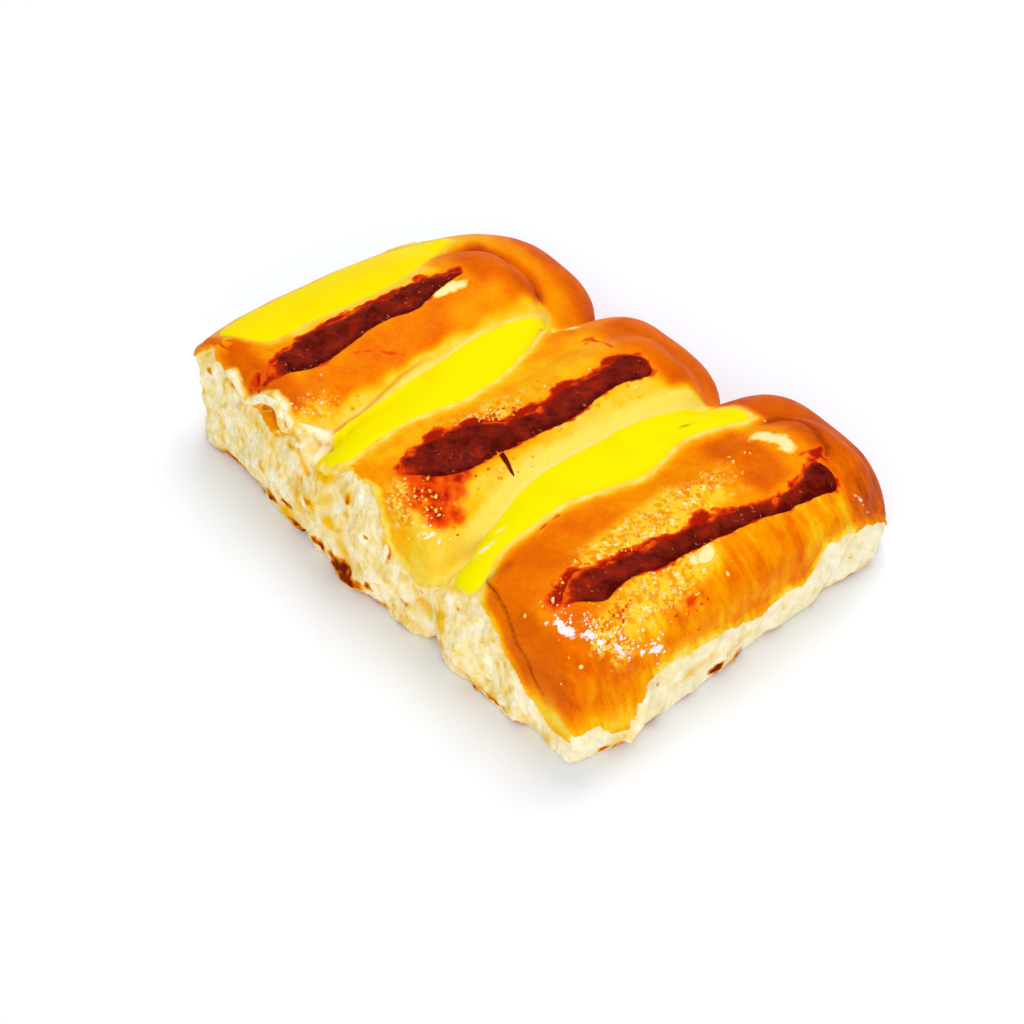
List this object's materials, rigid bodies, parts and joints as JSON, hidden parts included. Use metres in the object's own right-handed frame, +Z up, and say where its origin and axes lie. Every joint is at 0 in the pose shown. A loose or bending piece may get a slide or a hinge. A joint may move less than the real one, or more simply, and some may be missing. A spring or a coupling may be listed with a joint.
{
  "type": "sweet bread",
  "caption": "Pull-apart sweet bread of joined soft rolls with torn crumb sides, custard bands in the joins and jam strips along the crests.",
  "frame": {"origin": "under the middle of the whole piece, on the surface it stands on", "axes": "+X along the row of rolls, from the far torn side to the near one; +Y along each roll, from the torn end to the crusted end; +Z up"},
  "size_m": [0.1874, 0.1438, 0.0481],
  "materials": {
    "crust": "glazed golden-brown crust over pale torn crumb",
    "custard": "smooth baked custard, softly shiny",
    "guava": "wet shiny jam"
  },
  "bodies": {
    "root": {"bread": "crust", "custard_1": "custard", "custard_2": "custard", "custard_3": "custard", "guava_1": "guava", "guava_2": "guava", "guava_3": "guava"}
  },
  "joints": []
}
